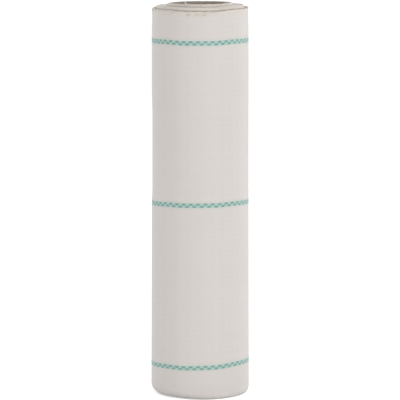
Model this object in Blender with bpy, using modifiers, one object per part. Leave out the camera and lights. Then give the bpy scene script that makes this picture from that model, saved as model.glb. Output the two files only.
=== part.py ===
"""Roll of woven weed control fabric, standing on end.

The web is made flat, as it comes off the loom, then wound round a cardboard core as one
unbroken spiral. Its turns have slid along each other a little, as they do on a roll that has
been stood up and handled: the core and the first turns ride high, and the loose outer turn
has dropped and curled in under the roll. Metres, +Z up, origin on the floor under the core's
axis. The web's free end is at the back, at +Y.
"""

import math

import bmesh
import bpy
import numpy as np
from mathutils import Matrix, Vector

MM = 0.001

# Gap that touching pieces keep between them, and points closer than which are one point
FIT_GAP = 0.3 * MM
MERGE_DISTANCE = 0.01 * MM

# Cardboard core
CORE_BORE = 70 * MM
CORE_WALL = 3.5 * MM
CORE_CHAMFER = 0.4 * MM
CORE_SIDES = 64

# Double-sided tape that holds the start of the web on the core
STARTER_WIDTH = 25 * MM
STARTER_THICKNESS = 0.2 * MM
STARTER_END_MARGIN = 4 * MM
STARTER_STEPS = 10

# Woven web: one modelled turn stands for about three and a half real ones
WEB_WIDTH = 500 * MM
WEB_THICKNESS = 0.65 * MM
TURN_GAP = 0.435 * MM
TURNS = 22
TURN_STEPS = 46
TAIL_ANGLE = math.radians(90)

# How the turns have slid, counted in turns from the core outwards and as heights over the rim
INNER_TURNS = 3
INNER_RISE = 7.6 * MM
MIDDLE_TURNS = 14
MIDDLE_RISE = 3.2 * MM
GROOVE_TURNS = 2
GROOVE_DEPTH = 2.0 * MM
LOOSE_TURNS = 1
LOOSE_DROP = 4.9 * MM
SLIDE_TURN_SHARE = 0.4
LOOSE_TURN_SHARE = 0.18

# Lower edge of the loose outer turn, curled in under the roll and pressed flat on the floor
CURL_RADIUS = 6 * MM
CURL_ANGLE = math.radians(80)
CURL_ROWS = 4
PRESSED_DEPTH = 0.5 * MM

# Marker lines: pairs of coloured tapes woven in along the web
LOWER_LINE_MARGIN = 45 * MM
UPPER_LINE_MARGIN = 36.4 * MM
LINE_WIDTH_SHARES = {"lower": 0.0, "middle": 0.504, "upper": 1.0}
MARKER_WIDTH = 2.8 * MM
MARKER_THICKNESS = 0.3 * MM
MARKER_START_MARGIN = 2 * MM

# Adhesive strips that hold the free end down
CLOSURE_WIDTH = 24 * MM
CLOSURE_THICKNESS = 0.15 * MM
CLOSURE_HOLD = 26 * MM
CLOSURE_STEP_OVER = 1.2 * MM
CLOSURE_STEPS = 30
CLOSURE_WIDTH_SHARES = {"lower": 0.25, "upper": 0.75}

# Cutter under the floor
CUTTER_OVERRUN = 10 * MM

# Derived sizes
CORE_RADIUS = CORE_BORE / 2 + CORE_WALL
PITCH = WEB_THICKNESS + TURN_GAP
FIRST_RADIUS = CORE_RADIUS + 2 * FIT_GAP + STARTER_THICKNESS + WEB_THICKNESS / 2
LAST_RADIUS = FIRST_RADIUS + TURNS * PITCH
CURL_LENGTH = CURL_RADIUS * CURL_ANGLE
CURL_CENTRE_HEIGHT = (CURL_RADIUS + WEB_THICKNESS / 2) * math.sin(CURL_ANGLE) - PRESSED_DEPTH
LOOSE_TOP = CURL_CENTRE_HEIGHT + WEB_WIDTH - CURL_LENGTH
RIM_TOP = LOOSE_TOP + LOOSE_DROP
LOOSE_START = TURNS - LOOSE_TURNS

COLOURS = {
    "web": (0.78, 0.76, 0.73, 1),
    "marker": (0.10, 0.42, 0.38, 1),
    "board": (0.45, 0.36, 0.27, 1),
    "tape": (0.80, 0.74, 0.58, 1),
}
ROUGHNESS = {"web": 0.55, "marker": 0.45, "board": 0.9, "tape": 0.25}


def clear_scene():
    for thing in list(bpy.data.objects):
        bpy.data.objects.remove(thing, do_unlink=True)


def new_collection(name):
    group = bpy.data.collections.new(name)
    bpy.context.scene.collection.children.link(group)
    return group


def add_material(thing, finish):
    """Give the object a material of its own in one of the roll's four finishes."""
    material = bpy.data.materials.new(thing.name)
    material.use_nodes = True
    shader = material.node_tree.nodes["Principled BSDF"]
    shader.inputs["Base Color"].default_value = COLOURS[finish]
    shader.inputs["Roughness"].default_value = ROUGHNESS[finish]
    shader.inputs["Metallic"].default_value = 0.0
    thing.data.materials.append(material)


def add_object(name, shape, group, finish=None):
    mesh = bpy.data.meshes.new(name)
    shape.to_mesh(mesh)
    shape.free()
    thing = bpy.data.objects.new(name, mesh)
    group.objects.link(thing)
    if finish:
        add_material(thing, finish)
        mesh.shade_smooth()
    return thing


def smooth_step(start, end, value):
    """0 before start, 1 after end, and a smooth rise between them."""
    share = min(1.0, max(0.0, (value - start) / (end - start)))
    return share * share * (3 - 2 * share)


def spiral_radius(turn):
    """Radius of the web's middle surface after so many turns from the core."""
    return FIRST_RADIUS + PITCH * turn


def spiral_angle(turn):
    """Angle round the axis, which puts the free end at the back."""
    return TAIL_ANGLE + 2 * math.pi * (turn - TURNS)


def upper_edge(turn):
    """Height of the web's upper edge: each group of turns has slid by its own amount."""
    middle_start = INNER_TURNS
    groove_start = middle_start + MIDDLE_TURNS
    rim_start = groove_start + GROOVE_TURNS
    height = RIM_TOP + INNER_RISE
    height += (MIDDLE_RISE - INNER_RISE) * smooth_step(
        middle_start - SLIDE_TURN_SHARE, middle_start, turn
    )
    height -= (GROOVE_DEPTH + MIDDLE_RISE) * smooth_step(
        groove_start - SLIDE_TURN_SHARE, groove_start, turn
    )
    height += GROOVE_DEPTH * smooth_step(rim_start - SLIDE_TURN_SHARE, rim_start, turn)
    return height - LOOSE_DROP * loosened(turn)


def loosened(turn):
    """How far the outer turn has let go: 0 under the free end, 1 a short way past it."""
    return smooth_step(LOOSE_START, LOOSE_START + LOOSE_TURN_SHARE, turn)


def height_over_curl(turns_outside):
    """Lowest edge of a turn that stands in the curl of the loose turn round it."""
    flat_of_row = math.cos(CURL_ANGLE / CURL_ROWS / 2)
    reach = (CURL_RADIUS - WEB_THICKNESS / 2) * flat_of_row - TURN_GAP
    out = max(0.0, CURL_RADIUS + WEB_THICKNESS / 2 - turns_outside * PITCH)
    return CURL_CENTRE_HEIGHT - math.sqrt(max(0.0, reach * reach - out * out))


def lower_edge(turn):
    """Height of the web's lower edge: the web's width below its upper edge, or on the curl."""
    outside = max(1, math.ceil(TURNS - turn) - 1)
    boundary = TURNS - outside
    next_outside = max(1, outside - 1)
    lift = smooth_step(boundary - LOOSE_TURN_SHARE, boundary, turn)
    over_curl = height_over_curl(outside) * (1 - lift) + height_over_curl(next_outside) * lift
    return max(upper_edge(turn) - WEB_WIDTH, over_curl)


def section(turn, across, lift=0.0):
    """Radius and height of a point of the web, lift metres out from its middle surface."""
    radius = spiral_radius(turn)
    top = upper_edge(turn)
    low = lower_edge(turn)
    loose = loosened(turn)
    lean = 0.0
    if loose == 0.0:
        height = low + (top - low) * across / WEB_WIDTH
    else:
        curled = CURL_LENGTH * loose
        straight_low = CURL_CENTRE_HEIGHT + CURL_LENGTH - curled
        if across > CURL_LENGTH:
            share = (across - CURL_LENGTH) / (WEB_WIDTH - CURL_LENGTH)
            height = straight_low + (top - straight_low) * share
        else:
            height = straight_low - CURL_LENGTH + across
            lean = max(0.0, curled - across) / CURL_RADIUS
            if lean > 0.0:
                radius -= CURL_RADIUS * (1 - math.cos(lean))
                height = CURL_CENTRE_HEIGHT - CURL_RADIUS * math.sin(lean)
    return radius + lift * math.cos(lean), height - lift * math.sin(lean)


def rolled(turn, across, lift=0.0):
    """Where a point of the flat web lies once it is wound on the roll."""
    radius, height = section(turn, across, lift)
    angle = spiral_angle(turn)
    return Vector((radius * math.cos(angle), radius * math.sin(angle), height))


def flat_strip(first_turn, last_turn, steps, low, high):
    """A flat strip of the web: x counts turns along it, y is the distance across it."""
    strip = bmesh.new()
    length = last_turn - first_turn
    place = Matrix.Translation(((first_turn + last_turn) / 2, (low + high) / 2, 0))
    size = Matrix.Diagonal((length, high - low, 1, 1))
    bmesh.ops.create_grid(strip, x_segments=steps, y_segments=1, size=0.5, matrix=place @ size)
    return strip


def solidify(thing, thickness):
    shell = thing.modifiers.new("thickness", "SOLIDIFY")
    shell.thickness = thickness
    shell.offset = 0.0
    shell.use_even_offset = True


def make_core(group):
    """Cardboard tube, cut square and slightly chamfered, that has slid up with the first turns."""
    top = upper_edge(0)
    bottom = top - WEB_WIDTH
    inner = CORE_BORE / 2
    outline = (
        (CORE_RADIUS - CORE_CHAMFER, top),
        (CORE_RADIUS, top - CORE_CHAMFER),
        (CORE_RADIUS, bottom + CORE_CHAMFER),
        (CORE_RADIUS - CORE_CHAMFER, bottom),
        (inner + CORE_CHAMFER, bottom),
        (inner, bottom + CORE_CHAMFER),
        (inner, top - CORE_CHAMFER),
        (inner + CORE_CHAMFER, top),
    )
    profile = bmesh.new()
    corners = [profile.verts.new((radius, 0, height)) for radius, height in outline]
    for start, end in zip(corners, corners[1:] + corners[:1]):
        profile.edges.new((start, end))
    core = add_object("core_tube", profile, group, "board")
    turned = core.modifiers.new("turned", "SCREW")
    turned.steps = CORE_SIDES
    turned.render_steps = CORE_SIDES
    turned.use_merge_vertices = True
    turned.merge_threshold = MERGE_DISTANCE
    turned.use_smooth_shade = True


def make_starter_tape(group):
    """Tape on the core that the first centimetres of the web are stuck to."""
    radius = CORE_RADIUS + FIT_GAP + STARTER_THICKNESS / 2
    turn_length = 2 * math.pi * radius
    low = lower_edge(0) + STARTER_END_MARGIN
    high = upper_edge(0) - STARTER_END_MARGIN
    strip = flat_strip(0, STARTER_WIDTH / turn_length, STARTER_STEPS, low, high)
    for corner in strip.verts:
        angle = spiral_angle(corner.co.x)
        corner.co = (radius * math.cos(angle), radius * math.sin(angle), corner.co.y)
    tape = add_object("starter_tape", strip, group, "tape")
    solidify(tape, STARTER_THICKNESS)


def floor_cutter(cutters):
    """Block under the floor that leaves the pressed edge of the web flat."""
    block = bmesh.new()
    width = 2 * (LAST_RADIUS + CUTTER_OVERRUN)
    size = Matrix.Diagonal((width, width, CUTTER_OVERRUN, 1))
    place = Matrix.Translation((0, 0, -CUTTER_OVERRUN / 2))
    bmesh.ops.create_cube(block, size=1.0, matrix=place @ size)
    cutter = add_object("floor", block, cutters)
    cutter.hide_render = True
    cutter.display_type = "WIRE"
    return cutter


def make_web(group, cutters):
    """The whole web: cut into rows where it will curl, rolled up, thickened, pressed flat."""
    strip = flat_strip(0, TURNS, TURNS * TURN_STEPS, 0, WEB_WIDTH)
    for row in range(1, CURL_ROWS + 1):
        loose = [face for face in strip.faces if face.calc_center_median().x > LOOSE_START]
        edges = {edge for face in loose for edge in face.edges}
        corners = {corner for face in loose for corner in face.verts}
        bmesh.ops.bisect_plane(
            strip,
            geom=loose + list(edges) + list(corners),
            plane_co=(0, CURL_LENGTH * row / CURL_ROWS, 0),
            plane_no=(0, 1, 0),
        )
    for corner in strip.verts:
        corner.co = rolled(corner.co.x, corner.co.y)
    web = add_object("fabric_web", strip, group, "web")
    solidify(web, WEB_THICKNESS)
    press = web.modifiers.new("pressed_flat", "BOOLEAN")
    press.operation = "DIFFERENCE"
    press.object = floor_cutter(cutters)


def between_lines(share):
    """Distance across the web, from the lower marker line to the upper one."""
    return LOWER_LINE_MARGIN + (WEB_WIDTH - LOWER_LINE_MARGIN - UPPER_LINE_MARGIN) * share


def make_marker_tapes(group):
    """Two coloured tapes side by side in each line, seen on the outer turn up to the cut end."""
    lift = WEB_THICKNESS / 2 + FIT_GAP + MARKER_THICKNESS / 2
    start = LOOSE_START + MARKER_START_MARGIN / (2 * math.pi * LAST_RADIUS)
    offsets = {"a": -MARKER_WIDTH - FIT_GAP / 2, "b": FIT_GAP / 2}
    for line, share in LINE_WIDTH_SHARES.items():
        for side, offset in offsets.items():
            low = between_lines(share) + offset
            strip = flat_strip(start, TURNS, TURN_STEPS, low, low + MARKER_WIDTH)
            for corner in strip.verts:
                corner.co = rolled(corner.co.x, corner.co.y, lift)
            tape = add_object(f"marker_tape_{line}_{side}", strip, group, "marker")
            solidify(tape, MARKER_THICKNESS)


def closure_radius(turn):
    """Middle of an adhesive strip: on the free end, then down a step onto the turn below."""
    lift = WEB_THICKNESS / 2 + FIT_GAP + CLOSURE_THICKNESS / 2
    step_start = TURNS + (FIT_GAP + CLOSURE_THICKNESS) / (2 * math.pi * LAST_RADIUS)
    step_end = step_start + CLOSURE_STEP_OVER / (2 * math.pi * LAST_RADIUS)
    high = spiral_radius(min(turn, TURNS))
    low = spiral_radius(turn - 1)
    return lift + high + (low - high) * smooth_step(step_start, step_end, turn)


def make_closure_tapes(group):
    """Short strips of clear tape across the free end of the web, between the marker lines."""
    hold = CLOSURE_HOLD / (2 * math.pi * LAST_RADIUS)
    for place, share in CLOSURE_WIDTH_SHARES.items():
        low = between_lines(share) - CLOSURE_WIDTH / 2
        strip = flat_strip(TURNS - hold, TURNS + hold, CLOSURE_STEPS, low, low + CLOSURE_WIDTH)
        for corner in strip.verts:
            radius = closure_radius(corner.co.x)
            angle = spiral_angle(corner.co.x)
            corner.co = (radius * math.cos(angle), radius * math.sin(angle), corner.co.y)
        tape = add_object(f"closure_tape_{place}", strip, group, "tape")
        solidify(tape, CLOSURE_THICKNESS)


def least_web_gap():
    """Least gap between turns, measured on points of both faces of the web near its edges."""
    rows = 8 * CURL_ROWS
    near_edge = np.linspace(0.0, CURL_LENGTH, rows + 1)
    bands = list(near_edge) + list(WEB_WIDTH - near_edge)
    least = CURL_RADIUS
    for step in range(TURN_STEPS):
        faces = []
        for count in range(TURNS):
            turn = count + step / TURN_STEPS
            for lift in (-WEB_THICKNESS / 2, WEB_THICKNESS / 2):
                faces += [(*section(turn, across, lift), count) for across in bands]
        points = np.array(faces)
        apart = points[:, None, 2] != points[None, :, 2]
        distance = np.hypot(
            points[:, None, 0] - points[None, :, 0], points[:, None, 1] - points[None, :, 1]
        )
        least = min(least, distance[apart].min())
    return least * math.cos(math.pi / TURN_STEPS)


def build():
    clear_scene()
    roll = new_collection("weed_fabric_roll")
    cutters = new_collection("cutters")
    make_core(roll)
    make_starter_tape(roll)
    make_web(roll, cutters)
    make_marker_tapes(roll)
    make_closure_tapes(roll)
    print(f"least gap of the web to itself: {least_web_gap() / MM:.3f} mm")


build()
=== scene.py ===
import math

import bpy
import numpy as np
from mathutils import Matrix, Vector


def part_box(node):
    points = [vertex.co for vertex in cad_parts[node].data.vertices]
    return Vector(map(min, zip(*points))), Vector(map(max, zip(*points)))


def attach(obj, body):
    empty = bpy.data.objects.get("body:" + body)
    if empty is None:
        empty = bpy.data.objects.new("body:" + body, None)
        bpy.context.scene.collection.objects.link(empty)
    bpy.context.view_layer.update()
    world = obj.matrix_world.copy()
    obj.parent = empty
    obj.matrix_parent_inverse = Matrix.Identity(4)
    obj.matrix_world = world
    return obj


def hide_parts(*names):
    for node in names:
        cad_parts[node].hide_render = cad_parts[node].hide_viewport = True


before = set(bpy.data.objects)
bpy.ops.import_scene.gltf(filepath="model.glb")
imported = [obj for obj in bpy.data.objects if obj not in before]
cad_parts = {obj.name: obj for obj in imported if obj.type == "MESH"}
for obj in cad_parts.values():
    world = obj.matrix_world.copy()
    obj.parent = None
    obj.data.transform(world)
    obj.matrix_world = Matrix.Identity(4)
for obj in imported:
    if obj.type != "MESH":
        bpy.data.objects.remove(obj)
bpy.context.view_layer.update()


# Core: the board tube that the web is wound on. Seven plies of brown paper are glued one over
# the other in a spiral, and the tube is sawn square, so each ply shows as a ring on its ends.
# It has slid up with the first turns of the web.
MM = 0.001
ROLL_BODY = "root"
CORE_BORE = 70 * MM
PLIES = 7
PLY_SEAM = 0.07 * MM
PLY_SEAM_DEPTH = 0.22 * MM
PLY_UNEVEN = 0.09 * MM
SAW_ROUGHNESS = 0.02 * MM
SAWN_DEPTH = 0.3 * MM
WALL_INSET = 0.4 * MM
CORE_COLUMNS = 160
CORE_ROWS = 12
BOARD_COLOUR = (0.315, 0.272, 0.222, 1)
BOARD_SEAM_COLOUR = (0.16, 0.13, 0.10, 1)
BOARD_FIBRE_COLOUR = (0.43, 0.38, 0.32, 1)
PAPER_STRIP_RISE = 98 * MM
FIBRE_STRETCH = (6, 260, 1)

draws = np.random.default_rng(41)


def loft(name, strips, joined=False):
    """A closed mesh through rings of points, for each strip of rings. Unless the ends of a
    strip are joined, each end is closed flat."""
    faces, first = [], 0
    for rings in strips:
        count, around = rings.shape[:2]
        index = first + np.arange(count * around).reshape(count, around)
        ahead = np.roll(index, -1, axis=0) if joined else index[1:]
        here = index if joined else index[:-1]
        sides = [here, ahead, np.roll(ahead, -1, axis=1), np.roll(here, -1, axis=1)]
        faces.append(np.stack(sides, axis=-1).reshape(-1, 4))
        if not joined:
            low = np.arange(around // 2 - 1)
            cap = np.stack([low, low + 1, around - 2 - low, around - 1 - low], axis=-1)
            faces += [index[0][cap], index[-1][cap[:, ::-1]]]
        first += count * around
    points = np.concatenate([rings.reshape(-1, 3) for rings in strips])
    mesh = bpy.data.meshes.new(name)
    mesh.from_pydata(points.tolist(), [], np.concatenate(faces).tolist())
    mesh.update()
    return mesh


def add_piece(name, mesh, finish, replaced=(), sharp_over=50):
    """Put a mesh in the scene as a piece of the roll, with its finish and its CAD node."""
    piece = bpy.data.objects.new(name, mesh)
    bpy.context.scene.collection.objects.link(piece)
    mesh.shade_smooth()
    mesh.set_sharp_from_angle(angle=math.radians(sharp_over))
    mesh.materials.append(finish)
    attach(piece, ROLL_BODY)
    if replaced:
        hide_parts(*replaced)
    return piece


def add_node(tree, kind, inputs=None, **settings):
    """Add a shader node. Its inputs are numbers, colours or the outputs of other nodes."""
    node = tree.nodes.new(kind)
    for setting, value in settings.items():
        setattr(node, setting, value)
    for socket, value in (inputs or {}).items():
        if isinstance(value, bpy.types.NodeSocket):
            tree.links.new(value, node.inputs[socket])
        else:
            node.inputs[socket].default_value = value
    return node


def maths(tree, operation, *values):
    return add_node(
        tree, "ShaderNodeMath", dict(enumerate(values)), operation=operation
    ).outputs[0]


def ramp(tree, value, start, end, low=0.0, high=1.0):
    """A smooth step from low to high while value goes from start to end."""
    return add_node(
        tree,
        "ShaderNodeMapRange",
        {"Value": value, "From Min": start, "From Max": end, "To Min": low, "To Max": high},
        interpolation_type="SMOOTHSTEP",
    ).outputs["Result"]


def blend(tree, share, first, second):
    """Mix two colours."""
    return add_node(
        tree, "ShaderNodeMix", {0: share, 6: first, 7: second}, data_type="RGBA"
    ).outputs[2]


def choose(tree, share, first, second):
    """Mix two numbers."""
    return add_node(tree, "ShaderNodeMix", {0: share, 2: first, 3: second}).outputs[0]


def noise(tree, place, scale, detail, roughness):
    return add_node(
        tree,
        "ShaderNodeTexNoise",
        {"Vector": place, "Scale": scale, "Detail": detail, "Roughness": roughness},
    ).outputs[0]


def place_vector(tree, *values):
    return add_node(tree, "ShaderNodeCombineXYZ", dict(enumerate(values))).outputs[0]


def new_finish(name, roughness):
    """A material whose Principled shader has its plain roughness; returns it and its nodes."""
    finish = bpy.data.materials.new(name)
    finish.use_nodes = True
    shader = finish.node_tree.nodes["Principled BSDF"]
    shader.inputs["Roughness"].default_value = roughness
    return finish, finish.node_tree, shader


def add_bump(tree, shader, height, distance, strength=1.0):
    bump = add_node(
        tree, "ShaderNodeBump", {"Height": height, "Distance": distance, "Strength": strength}
    )
    tree.links.new(bump.outputs[0], shader.inputs["Normal"])


def board_finish():
    finish, tree, shader = new_finish("wound_board", 0.88)
    at = add_node(tree, "ShaderNodeTexCoord").outputs["Object"]
    split = add_node(tree, "ShaderNodeSeparateXYZ", {0: at})
    angle = maths(tree, "ARCTAN2", split.outputs["Y"], split.outputs["X"])
    turned = maths(tree, "DIVIDE", angle, 2 * math.pi)
    rise = maths(tree, "DIVIDE", split.outputs["Z"], PAPER_STRIP_RISE)
    across_strip = maths(tree, "FRACT", maths(tree, "SUBTRACT", rise, turned))
    off_seam = maths(tree, "ABSOLUTE", maths(tree, "SUBTRACT", across_strip, 0.5))
    seam = ramp(tree, off_seam, 0.006, 0.002)
    lap = ramp(tree, across_strip, 0.5, 0.62, 1.0, 0.0)
    lap = maths(tree, "MULTIPLY", lap, ramp(tree, across_strip, 0.499, 0.501))
    along = place_vector(tree, maths(tree, "MULTIPLY", angle, 0.9), split.outputs["Z"], 0.0)
    stretched = add_node(
        tree, "ShaderNodeVectorMath", {0: along, 1: FIBRE_STRETCH}, operation="MULTIPLY"
    ).outputs[0]
    fibres = noise(tree, stretched, 1.0, 4.0, 0.6)
    specks = noise(tree, at, 900.0, 3.0, 0.65)
    colour = blend(tree, ramp(tree, fibres, 0.35, 0.75), BOARD_COLOUR, BOARD_FIBRE_COLOUR)
    colour = blend(tree, ramp(tree, specks, 0.62, 0.72, 0.0, 0.55), colour, BOARD_SEAM_COLOUR)
    colour = blend(tree, maths(tree, "MULTIPLY", lap, 0.18), colour, BOARD_FIBRE_COLOUR)
    colour = blend(tree, maths(tree, "MULTIPLY", seam, 0.8), colour, BOARD_SEAM_COLOUR)
    tree.links.new(colour, shader.inputs["Base Color"])
    height = maths(tree, "SUBTRACT", maths(tree, "MULTIPLY", fibres, 0.5), seam)
    height = maths(tree, "ADD", height, maths(tree, "MULTIPLY", specks, 0.25))
    add_bump(tree, shader, height, 0.15 * MM, 0.8)
    return finish


def sawn_end(outer, bore, height, inward):
    """Ply by ply, the outline of a sawn end from its outer corner to its bore."""
    walls = np.linspace(outer, bore, PLIES + 1)
    points = []
    for ply in range(PLIES):
        sawn = height - inward * abs(draws.normal(0, PLY_UNEVEN))
        points.append((walls[ply] - PLY_SEAM, sawn))
        points.append((walls[ply + 1] + PLY_SEAM, sawn))
        if ply < PLIES - 1:
            points.append((walls[ply + 1], height - inward * PLY_SEAM_DEPTH))
    return points


core_low, core_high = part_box("core_tube")
core_radius = core_high.x
bore_radius = CORE_BORE / 2
core_middle = (core_low.z + core_high.z) / 2
wall_heights = np.linspace(core_low.z + WALL_INSET, core_high.z - WALL_INSET, CORE_ROWS)
core_outline = [(core_radius, height) for height in wall_heights]
core_outline += sawn_end(core_radius, bore_radius, core_high.z, 1)
core_outline += [(bore_radius, height) for height in wall_heights[::-1]]
core_outline += sawn_end(core_radius, bore_radius, core_low.z, -1)[::-1]
core_outline = np.array(core_outline)
angles = np.linspace(0, 2 * math.pi, CORE_COLUMNS, endpoint=False)
rings = np.empty((CORE_COLUMNS, len(core_outline), 3))
rings[:, :, 0] = np.cos(angles)[:, None] * core_outline[:, 0]
rings[:, :, 1] = np.sin(angles)[:, None] * core_outline[:, 0]
rings[:, :, 2] = core_outline[:, 1]
rough_saw = draws.normal(0, SAW_ROUGHNESS, rings.shape[:2])
at_ends = (core_outline[:, 1] > core_high.z - SAWN_DEPTH) | (
    core_outline[:, 1] < core_low.z + SAWN_DEPTH
)
rings[:, at_ends, 2] -= np.abs(rough_saw[:, at_ends]) * np.sign(
    core_outline[at_ends, 1] - core_middle
)
core = add_piece("core_wound_board", loft("core_wound_board", [rings], joined=True),
                 board_finish(), ["core_tube"], sharp_over=40)


# Starter tape: a strip of double-sided tape down the core, on which the first centimetres of
# the web are stuck before winding begins. It is cloudy film with glue on both faces, cut from
# a reel and pressed on by hand.
STARTER_COLOUR = (0.74, 0.70, 0.60, 1)
STARTER_BUBBLE_COLOUR = (0.86, 0.84, 0.78, 1)


def starter_finish():
    finish, tree, shader = new_finish("double_sided_film", 0.35)
    at = add_node(tree, "ShaderNodeTexCoord").outputs["Object"]
    glue = noise(tree, at, 240.0, 4.0, 0.6)
    colour = blend(tree, ramp(tree, glue, 0.45, 0.6), STARTER_COLOUR, STARTER_BUBBLE_COLOUR)
    tree.links.new(colour, shader.inputs["Base Color"])
    tree.links.new(ramp(tree, glue, 0.3, 0.7, 0.22, 0.5), shader.inputs["Roughness"])
    add_bump(tree, shader, glue, 0.05 * MM)
    return finish


starter_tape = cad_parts["starter_tape"]
starter_tape.data.materials.clear()
starter_tape.data.materials.append(starter_finish())


# Web, wound turns: one strip of plain-woven plastic tapes, 79 turns tight on each other. The
# tapes are slit from thin drawn film, pale and undyed. In handling, the turns have slid along
# each other in groups, so that the end of the roll stands in low steps.
WEB_WIDTH = 500 * MM
WEB_THICKNESS = 0.24 * MM
TURNS = 79
FIRST_RADIUS = 39.42 * MM
LAST_RADIUS = 63.4 * MM
TURN_PITCH = (LAST_RADIUS - FIRST_RADIUS) / TURNS
CUT_END_ANGLE = math.pi / 2

# Steps of the upper end: the turn where each begins, its height in front, and its rise at the
# sides, which comes in between these angles from the front
TIER_TURNS = (11, 62, 69)
TIER_TOPS = (509.6 * MM, 505.8 * MM, 500.4 * MM, 501.7 * MM)
TIER_LEFT_RISES = (-0.3 * MM, 0.9 * MM, 2.9 * MM, 2.6 * MM)
TIER_RIGHT_RISES = (0.5 * MM, 2.0 * MM, 3.8 * MM, 3.4 * MM)
TIER_SIDE_ANGLES = ((0.3, 0.8), (1.35, 1.75))
TIER_STEP_SHARE = 0.35
SHOULDER_DEPTH = 1.5 * MM
SHOULDER_TURNS = 8
WANDER_REACH = 0.09 * MM
WANDER_WAVES = 9
WANDER_LENGTHS = (0.35, 5.0)

# Folds in which the last turns hang, and the angles from the front where they stay level
LOOSE_DROPS = (1.2 * MM, 1.2 * MM, 1.1 * MM)
LOOSENING_SHARE = 0.18
LOOSE_FLARE = 0.7 * MM
LEAST_FLARE_SHARE = 0.25
FLARE_DEPTH = 3.5 * MM
HUMPS_ROUND = 38
HUMP_SHIFT = 0.24
HUMP_CROWDING = 2.2
HUMP_MEAN = 0.67
BROAD_UNEVEN = 0.2
CLOSE_UNEVEN = 0.13
HUMP_SAG = 4.4 * MM
HUMP_LEVEL = 1.5 * MM
TIER_SAG = 0.3 * MM
RIM_SAG = 1.0 * MM
RAISED_EDGE = 2.8 * MM
RAISED_ANGLES = (-180, -60, -30, -16, 6, 24, 120, 165, 180)
RAISED_SHARES = (0.3, 0.4, 0.25, 0, 0, 1, 1, 0.3, 0.3)
# Painted shade in the creases of the loose edge: angles from the front and its share there
CREASE_ANGLES = (-180, -70, -45, -20, -14, -9, -4, 1, 6, 12, 30, 180)
CREASE_SHARES = (0.25, 0.25, 0.5, 0.35, 0.7, 0.15, 0.6, 1, 0.35, 0.7, 0.25, 0.25)

# Painted shade at the foot of a step: how high the step must be, and in shares of its height, up
# to where the shade is full and where it ends, with its strength
CREVICE_LEAST_STEP = 0.2 * MM
CREVICE_FULL_STEP = 2.2 * MM
CREVICE_INNER = (0.4, 0.95, 0.7)
CREVICE_OUTER = (0.3, 0.68, 0.95)
LOOSE_FULL_STEP = 0.9 * MM
LOOSE_SHADE = 0.24
LOOSE_SHADE_BAND = (0, 0.3, 0.6, 1.0)
LOOSE_SHADE_START = 0.9

# Curl of the lower edge; the sides are given by the cosine of the angle round the roll
CURL_RADIUS = 7.3 * MM
CURL_LIMIT = math.radians(80)
CURL_PRESSED = 0.4 * MM
CURL_PLAY = 0.25 * MM
CURL_EASING = 0.3 * MM
CURL_LEAST_SHARE = 0.01
CURL_LEAST_BEND = 0.6 * MM
CURL_LEFT_SHARE = 0.5
LEFT_SIDE = (0.35, -0.8)
RIGHT_SIDE = (0.4, 1.0)
FOOT_LEFT_LIFT = 1.7 * MM
FOOT_RIGHT_LIFT = 0.8 * MM
TAPER = 1.7 * MM
TOP_DRAW = 0.45 * MM
TOP_DRAW_HEIGHTS = (472 * MM, 492 * MM)
WAIST_DEPTH = 0.8 * MM
WAIST_HEIGHTS = (245 * MM, 268 * MM, 364 * MM, 398 * MM)
WAIST_TURNS = 22

# Weave: places across the web in metres, then in tapes, and the pitch of the tapes
LINE_PLACES = (43.9 * MM, 255.2 * MM, 463.1 * MM)
ROWS_BETWEEN_LINES = 74
LOW_ROW, TOP_ROW = -16.2, 160.4
WARP_PITCH = 2.83 * MM
WEFT_PITCH = 4.75 * MM
DASH_ANGLE = math.radians(-92.33)
WEB_COLOUR = (0.707, 0.668, 0.645, 1)
# Dust colour, also used for the painted shade along the sides of the tapes
WEB_DUST_AND_SHADE_COLOUR = (0.50, 0.44, 0.37, 1)
# Lighter edge colour: partly frayed whitish fibres, partly a painted highlight where the edges
# catch the light
WEB_EDGE_COLOUR = (0.84, 0.80, 0.755, 1)
WEB_AGED_COLOUR = (0.745, 0.670, 0.588, 1)
# Painted shade on the cut ends of the turns, standing for the shadowed gaps between them
WEB_CUT_END_SHADE_COLOUR = (0.67, 0.64, 0.61, 1)
# Colour of the painted shade at the foot of steps and in the creases of the loose edge
PAINTED_SHADE_COLOUR = (0.25, 0.20, 0.165, 1)
MARKER_SHADE = (0.36, 0.58, 0.52, 1)
TONE_SPREAD = (0.985, 1.015)
LINE_HALF_WIDTH = (1.05, 0.95)
LINE_SHADE = 0.72
LINE_GLOW_ROWS = (2.4, 0.8)
LINE_GLOW = 0.26
TAPE_SIDE_SHADE = 0.10
AGED_ROWS = (2.8, 0.9)
WORN_ROWS = (0.5, 0.15)
CUT_ROWS = (0.08, 0.02)
CREVICE_SHADE = 0.75
WEAVE_RELIEF = 0.045 * MM
WEFT_SEED, WARP_SEED = 0.31, 500.31
LOW_END_DARKENING_HEIGHT = 55 * MM

wander_lengths = draws.uniform(*WANDER_LENGTHS, WANDER_WAVES)
wander_starts = draws.uniform(0, 2 * math.pi, WANDER_WAVES)
dash_turn = TURNS - (CUT_END_ANGLE - DASH_ANGLE) / (2 * math.pi)


def smooth_step(start, end, value):
    share = np.clip((value - start) / (end - start), 0, 1)
    return share * share * (3 - 2 * share)


def band(limits, value):
    """0 outside the first and last limit, and 1 between the other two."""
    low, full, still, high = limits
    return smooth_step(low, full, value) * smooth_step(high, still, value)


def turn_radius(turn):
    return FIRST_RADIUS + TURN_PITCH * turn


def turn_angle(turn):
    return CUT_END_ANGLE + 2 * math.pi * (turn - TURNS)


def wound_length(turn):
    """Metres of web from its start on the core."""
    return 2 * math.pi * turn * (FIRST_RADIUS + TURN_PITCH * turn / 2)


def picks_along(turn):
    """Weft tapes counted along the web, with the middle of one on the front of the roll."""
    return (wound_length(turn) - wound_length(dash_turn)) / WEFT_PITCH + 0.5


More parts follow.
